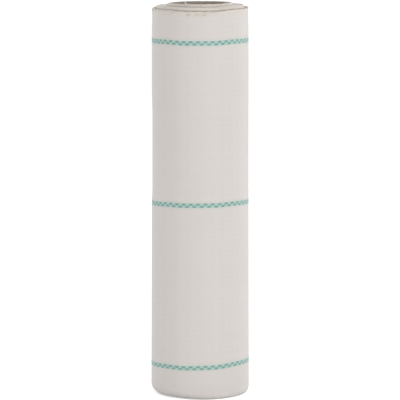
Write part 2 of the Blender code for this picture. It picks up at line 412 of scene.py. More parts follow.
def rows_at(across):
    """Warp tapes counted across the web from its lower marker line."""
    return np.interp(
        across, (0, *LINE_PLACES, WEB_WIDTH),
        (LOW_ROW, 0, ROWS_BETWEEN_LINES, 2 * ROWS_BETWEEN_LINES, TOP_ROW),
    )


def across_at(rows):
    return np.interp(
        rows, (LOW_ROW, 0, ROWS_BETWEEN_LINES, 2 * ROWS_BETWEEN_LINES, TOP_ROW),
        (0, *LINE_PLACES, WEB_WIDTH),
    )


def wander(turn):
    """How far a turn strays from its group, as no web runs quite straight on to its roll."""
    length = wound_length(turn)[..., None]
    return WANDER_REACH * np.sin(2 * math.pi * length / wander_lengths + wander_starts).sum(-1)


def looseness(turn):
    """0 on the tight turns, and up to 1 on the outer turn, that has dropped the most."""
    dropped = sum(
        drop * smooth_step(0, LOOSENING_SHARE, turn - (TURNS - len(LOOSE_DROPS) + step))
        for step, drop in enumerate(LOOSE_DROPS)
    )
    return dropped / sum(LOOSE_DROPS)


def from_front(turn):
    """Angle from the front of the roll, -pi to pi, positive on the right."""
    return np.mod(turn_angle(turn) + 1.5 * math.pi, 2 * math.pi) - math.pi


def humps(turn):
    """Folds of a free upper edge, round where they sag and pinched between, 0 to 1. They vary
    in size round the roll and from one to the next."""
    angle = from_front(turn)
    crowded = HUMP_CROWDING * (1 - np.cos(angle))
    wave = np.abs(np.sin(HUMPS_ROUND / 2 * angle - HUMP_SHIFT + crowded))
    broad = BROAD_UNEVEN * np.cos(3 * angle + 0.6 * np.sin(7 * angle))
    close = CLOSE_UNEVEN * np.cos(HUMPS_ROUND / 2 * angle + 4.6)
    return wave * (HUMP_MEAN + (broad + close))


def raised(turn):
    """How nearly the free edge of the outer turn has stayed level with the rest, 0 to 1."""
    return np.interp(np.degrees(from_front(turn)), RAISED_ANGLES, RAISED_SHARES)


def top_edge(turn):
    off_front = abs(from_front(turn))
    at_side = sum(smooth_step(*angles, off_front) for angles in TIER_SIDE_ANGLES) / 2
    to_right = (1 + np.sin(from_front(turn))) / 2
    tops = [
        top + at_side * (left + (right - left) * to_right)
        for top, left, right in zip(TIER_TOPS, TIER_LEFT_RISES, TIER_RIGHT_RISES)
    ]
    height = tops[0]
    for start, before, after in zip(TIER_TURNS, tops, tops[1:]):
        step = smooth_step(start - TIER_STEP_SHARE, start, turn)
        shoulder = np.clip((turn - start) / SHOULDER_TURNS + 1, 0, 1) ** 2 * (1 - step)
        height = height + (after - before) * step - SHOULDER_DEPTH * shoulder * (after < before)
    tight = 1 - looseness(turn)
    sag = TIER_SAG + RIM_SAG * smooth_step(TIER_TURNS[-1] - TIER_STEP_SHARE, TIER_TURNS[-1], turn)
    return height + wander(turn) - sum(LOOSE_DROPS) * (1 - tight) - sag * humps(turn) * tight


def free_edge(turn):
    """How far the upper edge of the web strays from its line: it is cut and has frayed."""
    level = raised(turn)
    hanging = HUMP_LEVEL - HUMP_SAG * humps(turn)
    return looseness(turn) * (RAISED_EDGE * level + hanging * (1 - level))


def flare(turn, below_top):
    """How far the loose upper edge leans out."""
    loose = looseness(turn)
    share = LEAST_FLARE_SHARE + (1 - LEAST_FLARE_SHARE) * humps(turn)
    outward = loose * loose * LOOSE_FLARE * share
    return outward * np.clip(1 - below_top / FLARE_DEPTH, 0, 1) ** 2


def on_left(turn):
    """1 on the left side of the roll, where the lower edge is curled wider, else 0."""
    return smooth_step(*LEFT_SIDE, np.cos(turn_angle(turn)))


def foot_lift(turn):
    """Height of the curled edge over the floor: it bears at the front and the back."""
    right = smooth_step(*RIGHT_SIDE, np.cos(turn_angle(turn)))
    return FOOT_LEFT_LIFT * on_left(turn) + FOOT_RIGHT_LIFT * right


def waist(turn, height):
    """On its left side the roll is wound a little tighter between two of its lines."""
    side = (1 - np.cos(turn_angle(turn))) / 2
    outer = smooth_step(TURNS - WAIST_TURNS, TURNS - 2, turn)
    return outer * side * band(WAIST_HEIGHTS, height)


def edge_curl(turn):
    """Curl of the lower edge: where it starts on the web, its radius here, and its centre."""
    left = on_left(turn)
    outside = LAST_RADIUS - turn_radius(turn)
    whole = CURL_RADIUS * (1 + CURL_LEFT_SHARE * left)
    reach = whole * (1 - math.cos(CURL_LIMIT)) + CURL_PLAY
    curling = np.maximum(smooth_step(reach + CURL_EASING, reach, outside), CURL_LEAST_SHARE)
    bend = np.maximum(whole - outside, CURL_LEAST_BEND) / curling
    centre = whole * math.sin(CURL_LIMIT) - CURL_PRESSED + foot_lift(turn)
    return WEB_WIDTH - (top_edge(turn) - centre), bend, centre


def web_section(turn, across, lift):
    """Radius and height of a point of the web, lift metres out from its middle surface."""
    top = top_edge(turn)
    curl_start, bend, centre = edge_curl(turn)
    lean = np.clip((curl_start - across) / bend, 0, CURL_LIMIT)
    height = np.where(lean > 0, centre - bend * np.sin(lean), top - (WEB_WIDTH - across))
    radius = turn_radius(turn) - bend * (1 - np.cos(lean)) - WAIST_DEPTH * waist(turn, height)
    drawn_in = TOP_DRAW * smooth_step(*TOP_DRAW_HEIGHTS, height)
    radius = radius + (TAPER * (0.5 - height / WEB_WIDTH) - drawn_in) * turn / TURNS
    radius = radius + flare(turn, top + free_edge(turn) - height)
    height = height - lift * np.sin(lean)
    outside = LAST_RADIUS - turn_radius(turn)
    floor = np.where(outside < centre, outside, 0) + np.where(lift > 0, 0, WEB_THICKNESS)
    return radius + lift * np.cos(lean), np.maximum(height, floor + foot_lift(turn))


def on_roll(turn, across, lift=0.0):
    """Where a point of the flat web lies once it is wound on the roll."""
    radius, height = web_section(turn, across, lift)
    angle = turn_angle(turn)
    return np.stack([radius * np.cos(angle), radius * np.sin(angle), height], axis=-1)


def crease_shade_share(turn):
    """Share of painted shade in the creases of the loose upper edge on its way round, 0 to 1: most
    at the front.
    """
    return np.interp(np.degrees(from_front(turn)), CREASE_ANGLES, CREASE_SHARES)


def painted_shade(turn, height):
    """Painted shade: 1 where a free-standing wall meets the lower turns outside it, where shade
    falls, and a weaker painted shade in the creases of the loose turns.
    """
    top = top_edge(turn) + free_edge(turn)
    outside = top_edge(turn + 1) + free_edge(turn + 1)
    step = top - outside
    share_up = (height - outside) / np.maximum(step, CREVICE_LEAST_STEP / 2)
    inner = turn < TIER_TURNS[0]
    fades, gone, shade = [
        np.where(inner, *pair) for pair in zip(CREVICE_INNER, CREVICE_OUTER)
    ]
    dark = shade * (1 - smooth_step(fades, gone, share_up))
    loose = turn > TURNS - len(LOOSE_DROPS) - LOOSE_SHADE_START
    soft = LOOSE_SHADE * band(LOOSE_SHADE_BAND, share_up) * crease_shade_share(turn)
    full_step = np.where(loose, LOOSE_FULL_STEP, CREVICE_FULL_STEP)
    deep = smooth_step(CREVICE_LEAST_STEP, full_step, step) * (turn < TURNS - 1)
    return deep * np.where(loose, soft, dark)


def add_uv(mesh, name, places):
    """Give the mesh a UV map from one place for each of its points."""
    layer = mesh.uv_layers.new(name=name)
    corners = np.empty(len(mesh.loops), np.int32)
    mesh.loops.foreach_get("vertex_index", corners)
    layer.data.foreach_set("uv", places.reshape(-1, 2)[corners].astype(np.float32).ravel())


def add_shade(mesh, name, values):
    """Give the mesh a named number at each of its points, for its material to read."""
    mesh.attributes.new(name, "FLOAT", "POINT").data.foreach_set(
        "value", values.astype(np.float32).ravel()
    )


def wound_strip(turns, curl_shares, middle_rows, rows_below_top):
    """Rings of a stretch of web, with the weave places and the painted shade of their points."""
    start, bend, _ = edge_curl(turns)
    low = np.maximum(start - bend * CURL_LIMIT, 0)
    rows = [low + (np.maximum(start, low) - low) * share for share in curl_shares]
    rows += [np.full_like(turns, middle) for middle in middle_rows]
    rows += [WEB_WIDTH + free_edge(turns) - below for below in rows_below_top]
    across = np.stack(rows, axis=1)
    turn = np.repeat(turns[:, None], across.shape[1], axis=1)
    outer = on_roll(turn, across, WEB_THICKNESS / 2)
    inner = on_roll(turn, across, -WEB_THICKNESS / 2)
    rings = np.concatenate([outer, inner[:, ::-1]], axis=1)
    weave = np.stack([picks_along(turn), rows_at(across)], axis=-1)
    dark = painted_shade(turn, outer[:, :, 2])
    return (rings, np.concatenate([weave, weave[:, ::-1]], axis=1),
            np.concatenate([dark, np.zeros_like(dark)], axis=1))


def new_group(name, inputs, outputs):
    """A shader node group with named sockets; returns it and its two end nodes."""
    group = bpy.data.node_groups.new(name, "ShaderNodeTree")
    for side, sockets in (("INPUT", inputs), ("OUTPUT", outputs)):
        for socket, kind in sockets.items():
            group.interface.new_socket(name=socket, in_out=side, socket_type=kind)
    taken = group.nodes.new("NodeGroupInput").outputs
    given = group.nodes.new("NodeGroupOutput").inputs
    return group, taken, given


def drawn_film_group():
    """Fine streaks that drawing leaves along a film tape. Place is in tapes: along, across."""
    group, taken, given = new_group(
        "drawn_film",
        {"Along": "NodeSocketFloat", "Across": "NodeSocketFloat", "Seed": "NodeSocketFloat"},
        {"Streak": "NodeSocketFloat"},
    )
    place = place_vector(
        group,
        maths(group, "MULTIPLY", taken["Along"], 0.22),
        maths(group, "MULTIPLY", taken["Across"], 7.0),
        taken["Seed"],
    )
    group.links.new(noise(group, place, 1.0, 3.0, 0.6), given["Streak"])
    return group


def off_middle(tree, place):
    """How far a place lies from the middle of its tape, in tapes."""
    share = maths(tree, "FRACT", place)
    return maths(tree, "ABSOLUTE", maths(tree, "SUBTRACT", share, 0.5))


def tape_weave_group():
    """Plain weave of flat tapes. Place is in tapes: picks along the web and rows across it."""
    group, taken, given = new_group(
        "tape_weave",
        {"Picks": "NodeSocketFloat", "Rows": "NodeSocketFloat"},
        {"Tape Side": "NodeSocketFloat", "Height": "NodeSocketFloat", "Tone": "NodeSocketFloat"},
    )
    picks, rows = taken["Picks"], taken["Rows"]
    pick, row = maths(group, "FLOOR", picks), maths(group, "FLOOR", rows)
    parity = maths(group, "FLOORED_MODULO", maths(group, "ADD", pick, row), 2.0)
    warp_up = maths(group, "SUBTRACT", 1.0, parity)
    off_pick, off_row = off_middle(group, picks), off_middle(group, rows)
    across = choose(group, warp_up, off_pick, off_row)
    along = choose(group, warp_up, off_row, off_pick)
    side = ramp(group, across, 0.43, 0.5)
    dive = maths(group, "POWER", maths(group, "MULTIPLY", along, 2.0), 3.0)
    height = maths(group, "SUBTRACT", 1.0, maths(group, "MULTIPLY", dive, 0.55))
    height = maths(group, "SUBTRACT", height, maths(group, "MULTIPLY", side, 0.6))
    tape = choose(
        group, warp_up, maths(group, "ADD", pick, WEFT_SEED), maths(group, "ADD", row, WARP_SEED)
    )
    tone = add_node(
        group, "ShaderNodeTexWhiteNoise", {"W": tape}, noise_dimensions="1D"
    ).outputs["Value"]
    streak_along = choose(group, warp_up, rows, picks)
    streak_across = choose(group, warp_up, picks, rows)
    streak = add_node(
        group,
        "ShaderNodeGroup",
        {"Along": streak_along, "Across": streak_across, "Seed": tape},
        node_tree=drawn_film,
    ).outputs["Streak"]
    group.links.new(side, given["Tape Side"])
    group.links.new(
        maths(group, "ADD", height, maths(group, "MULTIPLY", streak, 0.12)), given["Height"]
    )
    group.links.new(choose(group, 0.45, tone, streak), given["Tone"])
    return group


def handling_dust_group():
    """Dust from handling, thin all over, and darker towards the lower end."""
    group, taken, given = new_group(
        "handling_dust",
        {"Colour": "NodeSocketColor", "Dust": "NodeSocketColor", "Amount": "NodeSocketFloat"},
        {"Colour": "NodeSocketColor", "Mask": "NodeSocketFloat"},
    )
    at = add_node(group, "ShaderNodeTexCoord").outputs["Object"]
    height = add_node(group, "ShaderNodeSeparateXYZ", {0: at}).outputs["Z"]
    broad = noise(group, at, 14.0, 3.0, 0.55)
    fine = noise(group, at, 420.0, 3.0, 0.7)
    # Darker towards the lower end of the roll
    low_end = ramp(group, height, LOW_END_DARKENING_HEIGHT, 0.0, 0.0, 0.4)
    cloud = maths(group, "MULTIPLY", broad, maths(group, "ADD", fine, 0.35))
    mask = maths(group, "MULTIPLY", cloud, maths(group, "ADD", low_end, 0.55))
    mask = maths(group, "MULTIPLY", mask, taken["Amount"])
    group.links.new(blend(group, mask, taken["Colour"], taken["Dust"]), given["Colour"])
    group.links.new(mask, given["Mask"])
    return group


drawn_film = drawn_film_group()
tape_weave = tape_weave_group()
handling_dust = handling_dust_group()


def dusted(tree, colour, amount):
    """The dust group over a colour; returns the group's outputs."""
    return add_node(
        tree,
        "ShaderNodeGroup",
        {"Colour": colour, "Dust": WEB_DUST_AND_SHADE_COLOUR, "Amount": amount},
        node_tree=handling_dust,
    ).outputs


def weave_place(tree):
    """Place in the weave of the point that is shaded: its picks and its rows."""
    place = add_node(tree, "ShaderNodeUVMap", uv_map="weave").outputs[0]
    split = add_node(tree, "ShaderNodeSeparateXYZ", {0: place})
    return split.outputs["X"], split.outputs["Y"]


def web_finish(name, dust, edge_wear_and_painted_light, age):
    """Pale woven tapes: tone from tape to tape, painted shade along the tape sides, edges lighter
    with fray and a painted highlight, cut ends with painted shade, and painted shade in crevices
    and creases.
    """
    finish, tree, shader = new_finish(name, 0.5)
    picks, rows = weave_place(tree)
    weave = add_node(
        tree, "ShaderNodeGroup", {"Picks": picks, "Rows": rows}, node_tree=tape_weave
    ).outputs
    dark, pale = [tuple(c * tone for c in WEB_COLOUR[:3]) + (1,) for tone in TONE_SPREAD]
    colour = blend(tree, ramp(tree, weave["Tone"], 0.2, 0.8), dark, pale)
    from_lines = maths(tree, "ADD", rows, ROWS_BETWEEN_LINES * 2.0)
    off_line = maths(tree, "PINGPONG", from_lines, ROWS_BETWEEN_LINES / 2)
    in_line = ramp(tree, off_line, *LINE_HALF_WIDTH)
    glow = ramp(tree, off_line, *LINE_GLOW_ROWS, 0.0, LINE_GLOW)
    shade = maths(tree, "MAXIMUM", glow, maths(tree, "MULTIPLY", in_line, LINE_SHADE))
    colour = blend(tree, shade, colour, MARKER_SHADE)
    # Painted shade along the sides of each tape, where it dips under the next, in the dust colour
    side = maths(tree, "MULTIPLY", weave["Tape Side"], TAPE_SIDE_SHADE)
    colour = blend(tree, side, colour, WEB_DUST_AND_SHADE_COLOUR)
    start, full = [TOP_ROW - below for below in AGED_ROWS]
    colour = blend(tree, ramp(tree, rows, start, full, 0.0, age), colour, WEB_AGED_COLOUR)
    # A lighter band at the upper and lower edges: partly fray, partly a painted highlight
    near_top = ramp(tree, rows, *[TOP_ROW - below for below in WORN_ROWS])
    near_low = ramp(tree, rows, *[LOW_ROW + above for above in WORN_ROWS])
    edge = maths(tree, "MULTIPLY", maths(tree, "MAXIMUM", near_top, near_low), edge_wear_and_painted_light)
    colour = blend(tree, edge, colour, WEB_EDGE_COLOUR)
    # Painted shade on the cut ends, for the dark gaps between the turns seen from above
    start, full = [TOP_ROW - below for below in CUT_ROWS]
    colour = blend(tree, ramp(tree, rows, start, full, 0.0, edge_wear_and_painted_light), colour, WEB_CUT_END_SHADE_COLOUR)
    # Painted shade at the foot of steps and in creases, read from the points of the mesh
    painted_shade_share = add_node(tree, "ShaderNodeAttribute", attribute_name="painted_shade").outputs["Fac"]
    painted_shade_share = maths(tree, "MULTIPLY", painted_shade_share, CREVICE_SHADE)
    dusty = dusted(tree, blend(tree, painted_shade_share, colour, PAINTED_SHADE_COLOUR), dust)
    tree.links.new(dusty["Colour"], shader.inputs["Base Color"])
    gloss = ramp(tree, weave["Tone"], 0.2, 0.8, 0.44, 0.56)
    gloss = maths(tree, "ADD", gloss, maths(tree, "MULTIPLY", dusty["Mask"], 0.4))
    tree.links.new(gloss, shader.inputs["Roughness"])
    add_bump(tree, shader, weave["Height"], WEAVE_RELIEF, 0.5)
    return finish


OUTER_PIECE_TURNS = 1.05
JOINT_TURN = TURNS - OUTER_PIECE_TURNS
STEP_ROWS = (6.4 * MM, 5.2 * MM, 4.2 * MM, 3 * MM, 2 * MM, 1 * MM, 0.4 * MM, 0)
PLAIN_ROWS = (4 * MM, 0)
WAIST_ROWS = [height * MM for height in (225, 250, 270, 362, 382, 400)]
CURL_ROWS = (0, 0.35, 0.7, 1)

# Each stretch: its first and last turn, its columns to a turn, and its rows
stretches = (
    (0, 9, 60, (0,), (), PLAIN_ROWS),
    (9, 11, 110, (0,), (), STEP_ROWS),
    (11, 56, 60, (0,), (), PLAIN_ROWS),
    (56, 60, 68, CURL_ROWS, WAIST_ROWS, PLAIN_ROWS),
    (60, 62, 120, CURL_ROWS, WAIST_ROWS, STEP_ROWS),
    (62, 75, 68, CURL_ROWS, WAIST_ROWS, PLAIN_ROWS),
    (75, JOINT_TURN, 240, CURL_ROWS, WAIST_ROWS, STEP_ROWS[1:]),
)
wound = [
    wound_strip(np.linspace(first, last, round((last - first) * columns) + 1), *rows)
    for first, last, columns, *rows in stretches
]
wound_mesh = loft("web_wound", [strip[0] for strip in wound])
add_uv(wound_mesh, "weave", np.concatenate([strip[1].reshape(-1, 2) for strip in wound]))
# Painted shade at the foot of the steps and in the creases of the loose turns
add_shade(wound_mesh, "painted_shade", np.concatenate([strip[2].ravel() for strip in wound]))
web_wound = add_piece("web_wound", wound_mesh, web_finish("woven_tapes_wound", 0.35, 0.8, 1.0),
                      ["fabric_web"])


# Web, outer turn: the last of the same strip, down to its cut end at the back. It has let go
# and dropped. Its lower edge has curled in under the roll and is pressed flat by the weight, and
# its upper edge hangs in folds. Each tape of the weave is raised where it is on top.
CRIMP = 0.045 * MM
END_FRAY = 0.7 * MM
EDGE_FRAY = (-0.35 * MM, 0.15 * MM)
EDGE_STRAY_DEPTH = 12 * MM
SAG_PLACES = (0, 20 * MM, *LINE_PLACES, 488 * MM, WEB_WIDTH)
SIDE_SAGS = (0, 0, 1.7 * MM, 2.9 * MM, 0.9 * MM, 0, 0)
RIGHT_RISES = (0, 0, 2.0 * MM, 0.6 * MM, 0.1 * MM, 0, 0)
# Painted shade in the creases of the loose edge: its strength and its band below the edge
CREASE_SHADE = 0.3
CREASE_BAND = (0, 0.8 * MM, 2.2 * MM, 4.2 * MM)
TABLE_MARGIN = 0.01
TABLE_STEPS = 4000
BACK_LOW_ROWS = 10
BACK_TOP_ROWS = 8
BACK_ROW_STEP = 9

outer_picks = np.arange(
    math.ceil(2 * picks_along(JOINT_TURN)), math.floor(2 * picks_along(TURNS)) + 1
) / 2
turn_table = np.linspace(JOINT_TURN - TABLE_MARGIN, TURNS + TABLE_MARGIN, TABLE_STEPS)
outer_turns = np.interp(outer_picks, picks_along(turn_table), turn_table)
outer_turns = np.concatenate([[JOINT_TURN], outer_turns[1:-1], [TURNS]])
outer_picks = picks_along(outer_turns)
half_rows = np.arange(math.ceil(2 * LOW_ROW), math.floor(2 * TOP_ROW) + 1) / 2
web_rows = np.concatenate([[LOW_ROW], half_rows, [TOP_ROW]])
marker_rows = {line * ROWS_BETWEEN_LINES + side for line in range(3) for side in (-1, 0)}


def hung(turn, across):
    """Place across the web as it hangs on the roll: towards the sides its rows sag a little."""
    right = np.sin(from_front(turn))
    return (across - right * right * np.interp(across, SAG_PLACES, SIDE_SAGS)
            + right * np.interp(across, SAG_PLACES, RIGHT_RISES))


def crimp_height(pick, row):
    """Rise of the weave at a tape's middle, its sides and its corners."""
    mid_pick, mid_row = pick % 1 == 0.5, row % 1 == 0.5
    if not mid_pick and not mid_row:
        return 0.0
    tape = math.floor(row)
    if mid_pick and mid_row:
        marker_up = tape in marker_rows and (math.floor(pick) + tape) % 2 == 0
        return -CRIMP if marker_up else CRIMP
    beside = {tape, tape - 1} if mid_pick else {tape}
    return 0.0 if beside & marker_rows else CRIMP / 2


rounded_picks = np.round(2 * outer_picks) / 2
crimp = np.array([[crimp_height(p, r) for r in web_rows] for p in rounded_picks])
turn_grid = np.repeat(outer_turns[:, None], len(web_rows), axis=1)
tape_of_row = np.floor(web_rows).astype(int)
fray_of_tape = draws.uniform(0, 1, tape_of_row.max() - tape_of_row.min() + 1)
turn_length = 2 * math.pi * LAST_RADIUS
turn_grid[-1] -= END_FRAY * fray_of_tape[tape_of_row - tape_of_row.min()] / turn_length
across_grid = np.repeat(across_at(web_rows)[None], len(outer_turns), axis=0)
near_edge = np.clip(1 - (WEB_WIDTH - across_grid) / EDGE_STRAY_DEPTH, 0, 1)
across_grid += near_edge * free_edge(outer_turns)[:, None]
across_grid[:, -1] += draws.uniform(*EDGE_FRAY, len(outer_turns))
across_grid = hung(turn_grid, across_grid)
outer_face = on_roll(turn_grid, across_grid, WEB_THICKNESS / 2 + crimp)
back_top = len(web_rows) - BACK_TOP_ROWS
back_rows = np.concatenate([
    np.arange(BACK_LOW_ROWS),
    np.arange(BACK_LOW_ROWS, back_top, BACK_ROW_STEP),
    np.arange(back_top, len(web_rows)),
])
back_face = on_roll(turn_grid[:, back_rows], across_grid[:, back_rows], -WEB_THICKNESS / 2)


def thin_sheet(name, front, back, matched):
    """A closed sheet whose back has fewer rows than its front; matched says which they are."""
    columns, rows = front.shape[:2]
    back_count = back.shape[1]
    front_index = np.arange(columns * rows).reshape(columns, rows)
    back_index = columns * rows + np.arange(columns * back_count).reshape(columns, back_count)
    faces = []
    for index, flip in ((front_index, False), (back_index, True)):
        quads = np.stack(
            [index[:-1, :-1], index[1:, :-1], index[1:, 1:], index[:-1, 1:]], axis=-1
        ).reshape(-1, 4)
        faces += (quads[:, ::-1] if flip else quads).tolist()
    for row, back_row, flip in ((0, 0, True), (-1, -1, False)):
        rim = np.stack([front_index[:-1, row], front_index[1:, row],
                        back_index[1:, back_row], back_index[:-1, back_row]], axis=-1)
        faces += (rim[:, ::-1] if flip else rim).tolist()
    for column, flip in ((0, False), (-1, True)):
        for step in range(back_count - 1):
            low, high = matched[step], matched[step + 1]
            cap = front_index[column, low:high + 1].tolist()
            cap += [back_index[column, step + 1], back_index[column, step]]
            faces.append([int(i) for i in (cap[::-1] if flip else cap)])
    mesh = bpy.data.meshes.new(name)
    points = np.concatenate([front.reshape(-1, 3), back.reshape(-1, 3)])
    mesh.from_pydata(points.tolist(), [], faces)
    mesh.update()
    return mesh


def edge_shade(turn, across):
    """Shade in the creases between the folds of the loose upper edge."""
    below = WEB_WIDTH + free_edge(turn) - across
    return CREASE_SHADE * band(CREASE_BAND, below) * crease_shade_share(turn) * (1 - humps(turn))


outer_mesh = thin_sheet("web_outer_turn", outer_face, back_face, back_rows)
front_weave = np.stack(np.broadcast_arrays(outer_picks[:, None], web_rows[None]), axis=-1)
# The front of the outer turn carries painted shade in the creases of its loose edge
add_shade(outer_mesh, "painted_shade", np.concatenate([
    edge_shade(turn_grid, across_at(web_rows) + near_edge * free_edge(turn_grid)).ravel(),
    np.zeros(back_face.size // 3),
]))
back_weave = front_weave[:, back_rows]
add_uv(outer_mesh, "weave",
       np.concatenate([front_weave.reshape(-1, 2), back_weave.reshape(-1, 2)]))
web_outer_turn = add_piece("web_outer_turn", outer_mesh,
                           web_finish("woven_tapes_outer", 0.3, 0.8, 0.3),
                           ["fabric_web"])


# Marker lines: in each, two teal tapes run side by side in the warp, and go over one weft tape
# and under the next, in turns, so they show as two rows of staggered dashes. They are the same
# drawn film as the rest, dyed in the melt.
MARKER_WIDTH = 2.7 * MM
MARKER_THICKNESS = 0.06 * MM
MARKER_STEPS = 8
MARKER_END_GAP = 0.2
MARKER_SWAY = 0.05 * MM
MARKER_SWAY_PACE = 0.7
MARKER_RISE = 0.055 * MM
MARKER_DWELL = 1.5
MARKER_SEED = 3.7
MARKER_DUST = 0.25
MARKER_COLOUR = (0.13, 0.32, 0.285, 1)
MARKER_LIGHT_COLOUR = (0.21, 0.43, 0.385, 1)
MARKER_BEND_COLOUR = (0.44, 0.66, 0.60, 1)


def marker_finish():
    finish, tree, shader = new_finish("teal_film", 0.42)
    picks, rows = weave_place(tree)
    streak = add_node(
        tree,
        "ShaderNodeGroup",
        {"Along": picks, "Across": rows, "Seed": MARKER_SEED},
        node_tree=drawn_film,
    ).outputs["Streak"]
    colour = blend(tree, ramp(tree, streak, 0.3, 0.75), MARKER_COLOUR, MARKER_LIGHT_COLOUR)
    bent = ramp(tree, off_middle(tree, picks), 0.22, 0.48, 0.0, 0.4)
    colour = blend(tree, bent, colour, MARKER_BEND_COLOUR)
    dusty = dusted(tree, colour, MARKER_DUST)
    tree.links.new(dusty["Colour"], shader.inputs["Base Color"])
    tree.links.new(ramp(tree, streak, 0.3, 0.7, 0.36, 0.5), shader.inputs["Roughness"])
    add_bump(tree, shader, streak, 0.02 * MM)
    return finish


teal_film = marker_finish()
marker_picks = np.arange(
    math.ceil(outer_picks[0] + 1), outer_picks[-1] - MARKER_END_GAP, 1 / MARKER_STEPS
)
marker_turns = np.interp(marker_picks, picks_along(turn_table), turn_table)
marker_shape = np.array((-0.5, -0.25, 0.25, 0.5)) * MARKER_WIDTH
for line, name in enumerate(("lower", "middle", "upper")):
    for side, row in (("a", -1), ("b", 0)):
        row += line * ROWS_BETWEEN_LINES
        centre = across_at(row + 0.5)
        sway = MARKER_SWAY * np.sin(marker_picks * MARKER_SWAY_PACE + row)
        across = centre + sway[:, None] + marker_shape[None]
        turn = np.repeat(marker_turns[:, None], len(marker_shape), axis=1)
        passing = np.cos(math.pi * (marker_picks - 0.5 + row))
        passing = np.clip(MARKER_DWELL * passing, -1, 1)[:, None]
        path = WEB_THICKNESS / 2 + MARKER_RISE * passing
        front = on_roll(turn, hung(turn, across), path + MARKER_THICKNESS / 2)
        back = on_roll(turn, hung(turn, across), path - MARKER_THICKNESS / 2)
        mesh = loft(f"marker_film_{name}_{side}", [np.concatenate([front, back[:, ::-1]], axis=1)])
        weave = np.stack([np.repeat(marker_picks[:, None], len(marker_shape), axis=1),
                          row + 0.5 + (across - centre) / WARP_PITCH], axis=-1)
        add_uv(mesh, "weave", np.concatenate([weave, weave[:, ::-1]], axis=1))
        add_piece(f"marker_film_{name}_{side}", mesh, teal_film,
                  [f"marker_tape_{name}_{side}"])


# Closing strips: two short pieces of clear packing film across the cut end, which keep the roll
# from unwinding. Their ends are toothed by the cutter of the tape gun, and a little air is
# caught under them where they step down from the end to the turn below.
CLOSURE_FILM = 0.05 * MM
CLOSURE_LIFT = 0.11 * MM
CLOSURE_TEETH = 24
CLOSURE_TOOTH_DEPTH = 0.7 * MM
CLOSURE_TOOTHED = 2 * MM
CLOSURE_REACH = 26 * MM
CLOSURE_STEP = (0.1 * MM, 1.1 * MM)
CLOSURE_RIPPLE = 0.03 * MM
CLOSURE_RIPPLE_LENGTHS = (1.9 * MM, 7 * MM)
CLOSURE_COLUMNS = 90
CLOSURE_COLOUR = (0.83, 0.80, 0.73, 1)
CLOSURE_AIR_COLOUR = (0.87, 0.85, 0.80, 1)


def closure_finish():
    finish, tree, shader = new_finish("clear_packing_film", 0.12)
    at = add_node(tree, "ShaderNodeTexCoord").outputs["Object"]
    air = ramp(tree, noise(tree, at, 110.0, 2.0, 0.5), 0.5, 0.72)
    scuffs = noise(tree, at, 900.0, 2.0, 0.6)
    colour = blend(tree, air, CLOSURE_COLOUR, CLOSURE_AIR_COLOUR)
    tree.links.new(colour, shader.inputs["Base Color"])
    tree.links.new(ramp(tree, scuffs, 0.3, 0.8, 0.08, 0.3), shader.inputs["Roughness"])
    tree.links.new(maths(tree, "MULTIPLY_ADD", air, 0.14, 0.34), shader.inputs["Alpha"])
    add_bump(tree, shader, air, 0.05 * MM)
    return finish


clear_film = closure_finish()
for name in ("lower", "upper"):
    low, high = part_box(f"closure_tape_{name}")
    heights = np.linspace(low.z, high.z, 2 * CLOSURE_TEETH + 1)
    along = np.linspace(-CLOSURE_REACH, CLOSURE_REACH, CLOSURE_COLUMNS)
    teeth = CLOSURE_TOOTH_DEPTH * (np.arange(len(heights)) % 2)
    toothed = (np.abs(along) - CLOSURE_REACH + CLOSURE_TOOTHED) / CLOSURE_TOOTHED
    toothed = np.clip(toothed, 0, 1)[:, None]
    reach = along[:, None] - np.sign(along)[:, None] * toothed * teeth[None]
    angle = CUT_END_ANGLE + reach / LAST_RADIUS
    step = smooth_step(*CLOSURE_STEP, reach)
    radius = LAST_RADIUS + TURN_PITCH * (reach / turn_length) - TURN_PITCH * step
    radius = radius - WAIST_DEPTH * waist(TURNS + reach / turn_length, heights[None])
    radius = radius + TAPER * (0.5 - heights[None] / WEB_WIDTH)
    length_along, length_up = CLOSURE_RIPPLE_LENGTHS
    ripple = CLOSURE_RIPPLE * np.sin(reach / length_along + heights[None] / length_up)
    lift = radius + WEB_THICKNESS / 2 + CLOSURE_LIFT + ripple * (1 - toothed)
    outer, inner = [
        np.stack([
            (lift + thickness) * np.cos(angle), (lift + thickness) * np.sin(angle),
            np.broadcast_to(heights[None], angle.shape),
        ], axis=-1)
        for thickness in (CLOSURE_FILM / 2, -CLOSURE_FILM / 2)
    ]
    mesh = loft(f"closing_strip_{name}", [np.concatenate([outer, inner[:, ::-1]], axis=1)])
    add_piece(f"closing_strip_{name}", mesh, clear_film,
              [f"closure_tape_{name}"])


# Loose tape ends: along the cut end and the upper edges, short ends of single tapes have worked
# free of the weave. They are the same pale film, and stand off the roll in curls.
LOOSE_END_STEPS = 7
LOOSE_END_THICKNESS = 0.05 * MM
LOOSE_END_WIDTH = 2.6 * MM
LOOSE_END_NARROWING = 0.35
LOOSE_END_ROW = 30.5
LOOSE_END_PICKS = 7
CUT_END_INSET = 0.002
CUT_END_STAND_OFF = 0.1 * MM
CUT_END_SKIPPED = 0.72
CUT_END_SLANTS = (-0.125, 0.125)
CUT_END_LENGTHS = (1.5 * MM, 6.5 * MM)
CUT_END_BOWS = (0.2, 0.9)
TAPED_MARGIN = 2 * MM
EDGE_END_SPAN = 0.8
EDGE_END_DEPTH = 0.5 * MM
EDGE_END_LEAN = 0.3
EDGE_END_BOWS = (0.3, 1.3)

# Each group of ends: its turn, its count and its shortest and longest length
EDGE_ENDS = (
    (10.2, 5, (0.7 * MM, 1.6 * MM)),
    (61.2, 9, (0.8 * MM, 2.2 * MM)),
    (75.6, 11, (0.8 * MM, 2 * MM)),
)

